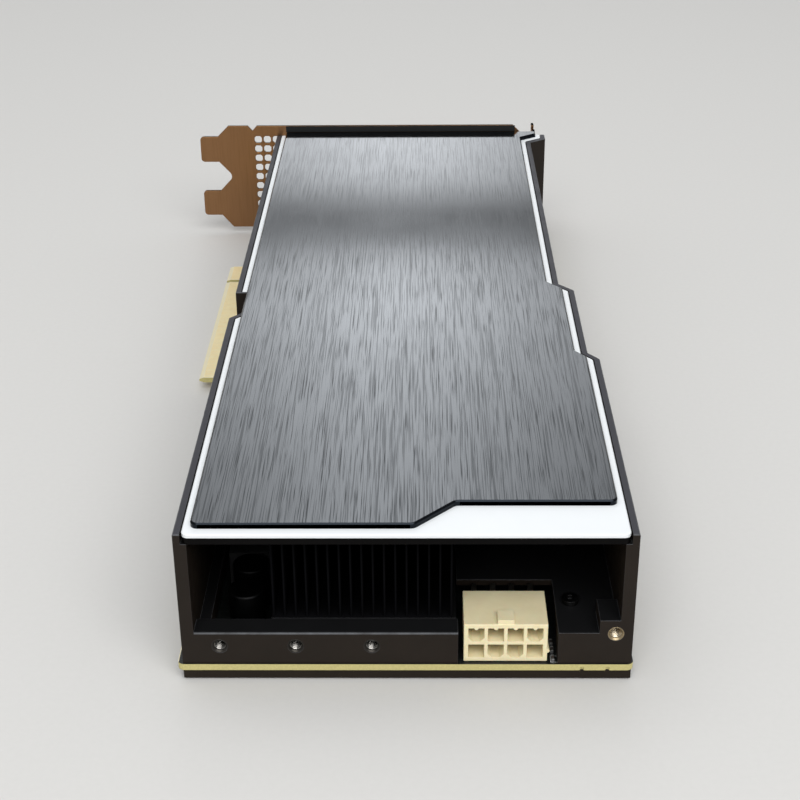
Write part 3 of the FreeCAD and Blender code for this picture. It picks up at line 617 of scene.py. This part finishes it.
# The bluish rubbed colour of the casting is partly a painted highlight of the sky along its edges.
# The casting is black; the warm tint of its colour is a painted reflection of the warm floor.
BLACK_CASTING = PowderCoat("black_satin_coat", (0.015, 0.0108, 0.0078), (0.17, 0.18, 0.195),
                           sheen_level=0.15, edge_wear_and_highlight=0.65, painted_sky_sheen=(0.055, 0.056, 0.066),
                           painted_sky_sheen_share=0.8)
# The cover is black; its extra darkness beside the casting is painted shade under the trim's lip.
BLACK_COVER = PowderCoat("black_cover_coat", (0.0025, 0.0022, 0.0022), (0.008, 0.008, 0.008),
                         sheen_level=0.05)
WHITE_COAT = PowderCoat("white_satin_coat", (0.825, 0.85, 0.865), (0.72, 0.71, 0.68),
                        roughness=0.38, peel_mm=0.5, peel_depth_mm=0.003, edge_wear_and_highlight=0.2,
                        cloud=0.015)
# The backplate is black; the warm tint of its colour is a painted reflection of the warm floor.
BLACK_ANODISED = PowderCoat("black_anodised", (0.0155, 0.0108, 0.007), (0.06, 0.055, 0.05),
                            roughness=0.48, peel_mm=0.5, peel_depth_mm=0.003, sheen_level=0.15)
# Near-black fins with no sheen: painted shade standing in for the dark inside of the duct.
FIN_PAINTED_SHADE = PowderCoat("fin_painted_shade", (0.0035, 0.0035, 0.004), (0.006, 0.006, 0.006),
                       roughness=0.6, peel_depth_mm=0.001, edge_mm=0.1, edge_wear_and_highlight=0.0,
                       sheen_level=0.0)
CHARCOAL = BrushedMetal("charcoal_anodised", (0.07, 0.075, 0.08), (0.255, 0.265, 0.278),
                        Grain.ALONG_CARD, roughness=0.13, streak_mm=0.25, anisotropy=0.9,
                        hairline=1.0, gloss_swing=0.06, rim=(0.013, 0.0155, 0.019),
                        faint_share=0.5)
DARK_BASE = BrushedMetal("dark_milled_base", (0.012, 0.012, 0.0125), (0.02, 0.02, 0.021),
                         Grain.ACROSS_CARD, roughness=0.45)
# Nickel-plated bracket; its brown tone is a painted reflection of a brown floor.
NICKEL_PAINTED_BROWN = BrushedMetal("satin_nickel", (0.265, 0.142, 0.064), (0.315, 0.168, 0.08),
                            Grain.UPRIGHT, roughness=0.3, streak_mm=0.4, groove_mm=0.0015,
                            anisotropy=0.3)
BLACK_ZINC = PlatedMetal("black_zinc", (0.03, 0.03, 0.031), (0.05, 0.05, 0.05), roughness=0.35)
DARK_SLEEVE = PlatedMetal("dark_sleeve", (0.035, 0.032, 0.028), (0.06, 0.055, 0.05),
                          roughness=0.4)
CUT_STEEL = PlatedMetal("cut_thread_steel", (0.3, 0.29, 0.27), (0.2, 0.19, 0.18), roughness=0.22)
STEEL = PlatedMetal("nickel_steel", (0.55, 0.54, 0.51), (0.45, 0.44, 0.42), roughness=0.28)
BRASS = PlatedMetal("turned_brass", (0.42, 0.33, 0.2), (0.3, 0.24, 0.15), roughness=0.3)
CUT_BRASS = PlatedMetal("cut_thread_brass", (0.62, 0.55, 0.42), (0.5, 0.43, 0.32))
GOLD = PlatedMetal("hard_gold", (1.0, 0.88, 0.56), (0.98, 0.84, 0.52), roughness=0.55,
                   turning_mm=0.2)
TIN = PlatedMetal("tinned_brass", (0.3, 0.27, 0.22), (0.25, 0.23, 0.2), roughness=0.35)
SOLDERED = PlatedMetal("soldered_end", (0.5, 0.5, 0.5), (0.4, 0.4, 0.4), roughness=0.4)
CAN = PlatedMetal("sleeved_can", (0.012, 0.012, 0.0125), (0.009, 0.009, 0.009), roughness=0.45)
NYLON = MouldedResin("ivory_nylon", (0.87, 0.775, 0.505), (0.81, 0.71, 0.445), roughness=0.38,
                     depth=0.12)
EPOXY = MouldedResin("black_epoxy", (0.012, 0.012, 0.012), (0.009, 0.009, 0.009), roughness=0.5,
                     texture_depth_mm=0.008)
CORE = MouldedResin("pressed_core", (0.03, 0.03, 0.031), (0.02, 0.02, 0.02), roughness=0.6,
                    texture_depth_mm=0.012)
CERAMIC = MouldedResin("fired_ceramic", (0.07, 0.06, 0.052), (0.055, 0.047, 0.04),
                       roughness=0.55)
CARRIER = MouldedResin("carrier_green", (0.03, 0.11, 0.05), (0.02, 0.08, 0.035), roughness=0.35)
SILICON = MouldedResin("polished_silicon", (0.1, 0.105, 0.12), (0.09, 0.095, 0.11),
                       roughness=0.12, texture_depth_mm=0.0)
INK = MouldedResin("screened_ink", (0.55, 0.56, 0.56), (0.48, 0.49, 0.49), roughness=0.6,
                   texture_depth_mm=0.002)
BOARD = Laminate("glass_epoxy", mask=(0.008, 0.0095, 0.009), fibre=(0.6, 0.53, 0.22),
                 bare=(0.92, 0.84, 0.6))
FOAM = SoftSheet("black_foam", (0.006, 0.007, 0.007), roughness=0.95, texture_mm=0.25)
PAD = SoftSheet("thermal_pad", (0.3, 0.34, 0.38))
PASTE = SoftSheet("thermal_paste", (0.5, 0.5, 0.5), texture_mm=0.3)
FILM = SoftSheet("black_film", (0.02, 0.02, 0.02), roughness=0.4, texture_mm=1.5)


def slab(mesh: bmesh.types.BMesh, low_mm: Corner, high_mm: Corner) -> None:
    """Adds a block between two opposite corners.

    Args:
        mesh: the mesh to add it to.
        low_mm: the corner with the lowest coordinates.
        high_mm: the corner with the highest.
    """
    low, high = Vector(low_mm) * MM, Vector(high_mm) * MM
    shape = Matrix.Translation((low + high) / 2) @ Matrix.Diagonal((*(high - low), 1.0))
    bmesh.ops.create_cube(mesh, size=1.0, matrix=shape)


@dataclass(frozen=True)
class HoleThread:
    """A helical ridge along a hole that runs into the card from the tail.

    Its foot lies in the wall, its crest stands nearer to the middle, and half_foot is half of
    the foot's width as a share of the pitch.
    """

    x_mm: float
    z_mm: float
    wall_mm: float = 1.27
    crest_mm: float = 1.06
    pitch_mm: float = 0.5
    half_foot: float = 0.44
    start_mm: float = -132.8
    turns: int = 7
    steps_per_turn: int = 16

    def cut(self, mesh: bmesh.types.BMesh) -> None:
        """Adds the ridge.

        Args:
            mesh: the mesh to add it to.
        """
        half = self.pitch_mm * self.half_foot
        outline = [(self.wall_mm, -half), (self.crest_mm, 0.0), (self.wall_mm, half)]
        first = [mesh.verts.new(Vector((self.x_mm + radius, self.start_mm + half + along,
                                        self.z_mm)) * MM)
                 for radius, along in outline]
        sides = [mesh.edges.new((vert, first[i - 1])) for i, vert in enumerate(first)]
        step_mm = self.pitch_mm / self.steps_per_turn
        swept = bmesh.ops.spin(mesh, geom=first + sides, axis=Vector((0.0, 1.0, 0.0)),
                               cent=Vector((self.x_mm, 0.0, self.z_mm)) * MM,
                               angle=math.tau * self.turns,
                               steps=self.turns * self.steps_per_turn,
                               dvec=Vector((0.0, step_mm, 0.0)) * MM)
        last = [item for item in swept["geom_last"] if isinstance(item, bmesh.types.BMVert)]
        mesh.faces.new(first)
        mesh.faces.new(last)


class Wardrobe:
    """Builds each finish once and puts it on the card's nodes and pieces.

    Corners that lie within MERGE_MM are one, when the solids of a node are told apart.
    """

    MERGE_MM: float = 0.001

    def __init__(self, nodes: dict[str, bpy.types.Object]) -> None:
        """Keeps the card's nodes.

        Args:
            nodes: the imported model's objects by name.
        """
        self.nodes = nodes
        self.made: dict[str, bpy.types.Material] = {}

    def material(self, finish: Finish) -> bpy.types.Material:
        """Finds a finish's material, and builds it the first time that it is asked for.

        Args:
            finish: the finish.

        Returns:
            Its material.
        """
        if finish.name not in self.made:
            self.made[finish.name] = finish.build()
        return self.made[finish.name]

    def dress(self, finish: Finish, *names: str) -> None:
        """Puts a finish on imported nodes.

        Args:
            finish: the finish.
            names: the nodes.
        """
        for name in names:
            piece = self.nodes[name]
            for slot in piece.material_slots:
                slot.material = self.material(finish)
            LOG.info("%s wears %s", name, finish.name)

    def boxes(self, name: str) -> list[tuple[Vector, Vector]]:
        """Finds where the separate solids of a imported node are.

        Args:
            name: the node.

        Returns:
            Each solid's lowest and highest corner, in millimetres.
        """
        shape = bmesh.new()
        shape.from_mesh(self.nodes[name].data)
        shape.transform(self.nodes[name].matrix_world)
        bmesh.ops.remove_doubles(shape, verts=shape.verts, dist=self.MERGE_MM * MM)
        left, found = set(shape.verts), []
        while left:
            island, front = set(), {left.pop()}
            while front:
                island |= front
                front = {edge.other_vert(vert) for vert in front
                         for edge in vert.link_edges} - island
            left -= island
            spots = [vert.co / MM for vert in island]
            found.append((Vector(map(min, zip(*spots))), Vector(map(max, zip(*spots)))))
        shape.free()
        return sorted(found, key=lambda pair: tuple(pair[0]))

    def add(self, name: str, mesh: bmesh.types.BMesh, finish: Finish, slot: str,
            smooth_deg: float = 40.0) -> bpy.types.Object:
        """Makes a new piece of the card from a bmesh, which is freed.

        Args:
            name: the piece's name.
            mesh: its shape, in metres in the card's frame.
            finish: its finish.
            slot: the record's material slot that it belongs to; not used.
            smooth_deg: edges that turn by less than this are shaded round.

        Returns:
            The new object, riding on the card.
        """
        bmesh.ops.recalc_face_normals(mesh, faces=mesh.faces)
        data = bpy.data.meshes.new(name)
        mesh.to_mesh(data)
        mesh.free()
        data.materials.append(self.material(finish))
        piece = bpy.data.objects.new(name, data)
        bpy.context.scene.collection.objects.link(piece)
        data.shade_smooth()
        data.set_sharp_from_angle(angle=math.radians(smooth_deg))
        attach(piece, "root")
        LOG.info("%s: %d faces, %s", name, len(data.polygons), finish.name)
        return piece


@dataclass
class Lid:
    """The roof of the duct, the white trim on it and the brushed plate on top."""

    wardrobe: Wardrobe

    def build(self) -> None:
        """Dresses the three sheets."""
        self.wardrobe.dress(BLACK_COVER, "duct_cover")
        self.wardrobe.dress(WHITE_COAT, "trim_plate")
        self.wardrobe.dress(CHARCOAL, "top_plate")


@dataclass
class Duct:
    """The cast frame with the inserts in its tail face."""

    wardrobe: Wardrobe

    def build(self) -> None:
        """Dresses the casting and its inserts, and cuts their threads."""
        self.wardrobe.dress(BLACK_CASTING, "duct_frame")
        self.wardrobe.dress(DARK_SLEEVE, "sill_inserts")
        self.wardrobe.dress(BRASS, "boss_insert")
        self.wardrobe.dress(BLACK_ZINC, "tray_screws")
        self.cut_threads("sill_insert_threads", "sill_inserts", CUT_STEEL, "insert_brass")
        self.cut_threads("boss_insert_threads", "boss_insert", CUT_BRASS, "insert_brass")

    def cut_threads(self, name: str, sleeves: str, finish: Finish, slot: str) -> None:
        """Threads every insert of a node.

        Args:
            name: the new piece's name.
            sleeves: the node with the plain inserts.
            finish: the thread's finish.
            slot: the record's material slot.
        """
        mesh = bmesh.new()
        for low, high in self.wardrobe.boxes(sleeves):
            HoleThread((low.x + high.x) / 2, (low.z + high.z) / 2).cut(mesh)
        self.wardrobe.add(name, mesh, finish, slot)


@dataclass
class Board:
    """The circuit board, its contacts and what is soldered to it.

    Each of marks_mm is an outline's left, near, right and far side.
    """

    wardrobe: Wardrobe
    end_cap_mm: float = 0.25
    solder_mm: float = 0.02
    ink_mm: float = 0.14
    ink_foot_mm: float = 4.17
    ink_top_mm: float = 4.185
    marks_mm: tuple[tuple[float, float, float, float], ...] = (
        (31.38, -132.75, 33.1, -130.45), (15.9, -108.4, 25.7, -98.6), (19.4, 85.1, 30.2, 95.9))

    def build(self) -> None:
        """Dresses the board and its parts, and adds solder and screened marks."""
        self.wardrobe.dress(BOARD, "circuit_board")
        self.wardrobe.dress(GOLD, "edge_contacts", "link_contacts")
        self.wardrobe.dress(CARRIER, "package_substrate")
        self.wardrobe.dress(SILICON, "processor_die")
        self.wardrobe.dress(EPOXY, "memory_stacks", "power_stages", "controller_chips")
        self.wardrobe.dress(STEEL, "stiffener_ring")
        self.wardrobe.dress(CORE, "chokes", "input_choke")
        self.wardrobe.dress(CAN, "storage_cans")
        self.wardrobe.dress(CERAMIC, "ceramic_capacitors")
        self.wardrobe.dress(PASTE, "thermal_sheet")
        self.wardrobe.dress(PAD, "choke_pads")
        self.solder_capacitors()
        self.screen_marks()

    def solder_capacitors(self) -> None:
        """Puts a soldered cap on both ends of every ceramic capacitor."""
        mesh, skin = bmesh.new(), self.solder_mm
        for low, high in self.wardrobe.boxes("ceramic_capacitors"):
            for start, end in ((low.y - skin, low.y + self.end_cap_mm),
                               (high.y - self.end_cap_mm, high.y + skin)):
                slab(mesh, (low.x - skin, start, low.z), (high.x + skin, end, high.z + skin))
        self.wardrobe.add("capacitor_ends", mesh, SOLDERED, "ceramic_tan")

    def screen_marks(self) -> None:
        """Prints a pale outline beside the parts that stand near an opening."""
        mesh, line = bmesh.new(), self.ink_mm
        for x0, y0, x1, y1 in self.marks_mm:
            for low, high in (((x0, y0), (x1, y0 + line)), ((x0, y1 - line), (x1, y1)),
                              ((x0, y0 + line), (x0 + line, y1 - line))):
                slab(mesh, (*low, self.ink_foot_mm), (*high, self.ink_top_mm))
        self.wardrobe.add("screened_marks", mesh, INK, "board")


@dataclass
class PowerInlet:
    """The ivory power header and its pins."""

    wardrobe: Wardrobe

    def build(self) -> None:
        """Dresses the housing and the pins."""
        self.wardrobe.dress(NYLON, "power_header")
        self.wardrobe.dress(TIN, "header_pins")


@dataclass
class Cooler:
    """The fin stack on its base, with the sprung screws."""

    wardrobe: Wardrobe

    def build(self) -> None:
        """Dresses the cooler."""
        self.wardrobe.dress(FIN_PAINTED_SHADE, "fin_stack")
        self.wardrobe.dress(DARK_BASE, "heatsink_base")
        self.wardrobe.dress(STEEL, "heatsink_screws", "heatsink_springs")


@dataclass
class Backing:
    """The backplate, its film and its screws."""

    wardrobe: Wardrobe

    def build(self) -> None:
        """Dresses the backing."""
        self.wardrobe.dress(BLACK_ANODISED, "backplate")
        self.wardrobe.dress(FILM, "insulator_film")
        self.wardrobe.dress(BLACK_ZINC, "backplate_screws")


@dataclass
class SlotBracket:
    """The folded bracket, its screws and the foam strip that seals it against the duct."""

    wardrobe: Wardrobe
    foam_low_mm: Corner = (-44.7, 132.36, 38.3)
    foam_high_mm: Corner = (37.0, 132.64, 40.44)
    foam_round_mm: float = 0.08

    def build(self) -> None:
        """Dresses the bracket and lays its foam strip."""
        self.wardrobe.dress(NICKEL_PAINTED_BROWN, "io_bracket")
        self.wardrobe.dress(BLACK_ZINC, "bracket_screws")
        mesh = bmesh.new()
        slab(mesh, self.foam_low_mm, self.foam_high_mm)
        bmesh.ops.bevel(mesh, geom=mesh.edges, offset=self.foam_round_mm * MM, affect="EDGES",
                        segments=2, profile=0.5, material=-1)
        self.wardrobe.add("bracket_foam", mesh, FOAM, "insulator")


@dataclass(frozen=True)
class Softbox:
    """A rectangular lamp that faces the card, with its sizes in metres and power in watts."""

    name: str
    place: Corner
    width: float
    depth: float
    power: float

    def hang(self) -> None:
        """Hangs the lamp."""
        data = bpy.data.lights.new(self.name, "AREA")
        data.shape = "RECTANGLE"
        data.size = self.width
        data.size_y = self.depth
        data.energy = self.power
        lamp = bpy.data.objects.new(self.name, data)
        place = Vector(self.place)
        turn = (-place).to_track_quat("-Z", "Y").to_matrix().to_4x4()
        lamp.matrix_world = Matrix.Translation(place) @ turn
        bpy.context.scene.collection.objects.link(lamp)


@dataclass(frozen=True)
class Room:
    """The pale room: light from all round, with a brighter wall beyond the bracket.

    Directions are those of a unit vector. wall_glow pairs a height with the wall's glow there,
    side_glow pairs a way to the side with the share of the glow that is left there, and
    wall_turn is where the wall takes over from the even light, by how far a look goes along
    the card.
    """

    tint: Rgb = (0.96, 0.98, 1.0)
    all_round: float = 0.5
    wall_turn: Span = (0.45, 0.93)
    level_glow: float = 0.9
    zenith_glow: float = 0.55
    wall_glow: tuple[Span, ...] = (
        (0.20, 1.58), (0.335, 1.64), (0.347, 0.05), (0.364, 0.05), (0.376, 1.62), (0.41, 1.76),
        (0.45, 1.45), (0.50, 1.17), (0.6, 0.95))
    side_reach: float = 0.5
    side_glow: tuple[Span, ...] = (
        (-0.26, 0.15), (-0.15, 0.56), (-0.08, 0.88), (-0.03, 1.18), (0.01, 1.15), (0.06, 0.74),
        (0.13, 0.5), (0.24, 0.15))

    def light(self) -> None:
        """Makes the world and lights the scene with it."""
        world = bpy.data.worlds.new("studio")
        world.use_nodes = True
        tree = world.node_tree
        back = tree.nodes["Background"]
        back.inputs["Color"].default_value = (*self.tint, 1.0)
        way = tree.nodes.new("ShaderNodeSeparateXYZ")
        tree.links.new(tree.nodes.new("ShaderNodeTexCoord").outputs["Generated"], way.inputs[0])
        wall = self.ramp(tree, way.outputs["Z"],
                         ((0.0, self.level_glow), *self.wall_glow, (1.0, self.zenith_glow)))
        aside = self.share(tree, way.outputs["X"], (-self.side_reach, self.side_reach))
        fall = self.ramp(tree, aside.outputs["Result"],
                         tuple((place + self.side_reach, glow) for place, glow in self.side_glow))
        product = tree.nodes.new("ShaderNodeMath")
        product.operation = "MULTIPLY"
        tree.links.new(wall.outputs["Color"], product.inputs[0])
        tree.links.new(fall.outputs["Color"], product.inputs[1])
        aim = self.share(tree, way.outputs["Y"], self.wall_turn)
        aim.interpolation_type = "SMOOTHSTEP"
        mix = tree.nodes.new("ShaderNodeMix")
        mix.inputs["A"].default_value = self.all_round
        tree.links.new(aim.outputs["Result"], mix.inputs["Factor"])
        tree.links.new(product.outputs["Value"], mix.inputs["B"])
        tree.links.new(mix.outputs["Result"], back.inputs["Strength"])
        bpy.context.scene.world = world

    def share(self, tree: bpy.types.NodeTree, value: Link, span: Span) -> bpy.types.Node:
        """Turns a span of a value into 0 to 1.

        Args:
            tree: the world's nodes.
            value: the value.
            span: where it starts and ends.

        Returns:
            The new node.
        """
        node = tree.nodes.new("ShaderNodeMapRange")
        node.inputs["From Min"].default_value, node.inputs["From Max"].default_value = span
        tree.links.new(value, node.inputs["Value"])
        return node

    def ramp(self, tree: bpy.types.NodeTree, value: Link,
             stops: tuple[Span, ...]) -> bpy.types.Node:
        """Turns a value into a glow.

        Args:
            tree: the world's nodes.
            value: the value, from 0 to 1.
            stops: places and the glow there, in order.

        Returns:
            The new node.
        """
        node = tree.nodes.new("ShaderNodeValToRGB")
        tree.links.new(value, node.inputs["Fac"])
        steps = node.color_ramp.elements
        for end, (place, glow) in zip(steps, (stops[0], stops[-1])):
            end.position, end.color = place, (glow, glow, glow, 1.0)
        for place, glow in stops[1:-1]:
            steps.new(place).color = (glow, glow, glow, 1.0)
        return node


@dataclass(frozen=True)
class Ground:
    """The pale ground that the card lies on."""

    side: float = 6.0
    drop_mm: float = 0.1
    dark: Rgb = (0.64, 0.63, 0.61)
    light: Rgb = (0.67, 0.66, 0.64)
    grain_mm: float = 1.5
    roughness: float = 0.7
    sheen_level: float = 0.25

    def lay(self) -> None:
        """Lays the ground just under the card."""
        shape = bmesh.new()
        bmesh.ops.create_grid(shape, x_segments=1, y_segments=1, size=self.side / 2,
                              matrix=Matrix.Translation((0.0, 0.0, -self.drop_mm * MM)))
        data = bpy.data.meshes.new("pale_floor")
        shape.to_mesh(data)
        shape.free()
        floor = bpy.data.objects.new("pale_floor", data)
        bpy.context.scene.collection.objects.link(floor)
        recipe = Recipe("pale_floor")
        grain = recipe.noise(self.grain_mm, detail=3.0)
        data.materials.append(recipe.finish(
            Base_Color=recipe.blend(grain, self.dark, self.light), Roughness=self.roughness,
            Specular_IOR_Level=self.sheen_level))


@dataclass(frozen=True)
class Viewpoint:
    """The camera, which stands before the card's tail and looks down along it."""

    place_mm: Corner = (3.755, -404.064, 209.008)
    yaw_deg: float = -0.915
    pitch_deg: float = 27.46
    roll_deg: float = -0.522
    lens_mm: float = 69.84
    sensor_mm: float = 36.0
    nearest: float = 0.01

    def stand(self) -> None:
        """Stands the camera in its place."""
        yaw, pitch, roll = map(math.radians, (self.yaw_deg, self.pitch_deg, self.roll_deg))
        ahead = Vector((math.sin(yaw) * math.cos(pitch), math.cos(yaw) * math.cos(pitch),
                        -math.sin(pitch)))
        level = Vector((math.cos(yaw), -math.sin(yaw), 0.0))
        upright = level.cross(ahead)
        right = math.cos(roll) * level + math.sin(roll) * upright
        up = -math.sin(roll) * level + math.cos(roll) * upright
        turn = Matrix((right, up, -ahead)).transposed().to_4x4()
        data = bpy.data.cameras.new("card_camera")
        data.sensor_width = self.sensor_mm
        data.lens = self.lens_mm
        data.clip_start = self.nearest
        camera = bpy.data.objects.new("card_camera", data)
        camera.matrix_world = Matrix.Translation(Vector(self.place_mm) * MM) @ turn
        bpy.context.scene.collection.objects.link(camera)
        bpy.context.scene.camera = camera


class Studio:
    """The ground, the room, the lamps and the camera."""

    LAMPS: tuple[Softbox, ...] = (
        Softbox("top_softbox", (-0.25, 0.35, 1.5), width=1.3, depth=1.3, power=5.1),
        Softbox("front_softbox", (0.25, -1.35, 1.45), width=2.2, depth=1.2, power=31.5))

    def build(self) -> None:
        """Sets up everything round the card."""
        Ground().lay()
        Room().light()
        for lamp in self.LAMPS:
            lamp.hang()
        Viewpoint().stand()


def main() -> None:
    """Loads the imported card, dresses it and sets up the studio."""
    logging.basicConfig(level=logging.INFO, format="%(name)s: %(message)s")
    bpy.ops.wm.read_factory_settings(use_empty=True)
    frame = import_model()
    wardrobe = Wardrobe(frame["nodes"])
    for sub_assembly in (Board, Backing, Cooler, Duct, Lid, PowerInlet, SlotBracket):
        sub_assembly(wardrobe).build()
    Studio().build()
    bpy.context.scene.view_settings.view_transform = "Standard"


if __name__ == "__main__":
    main()
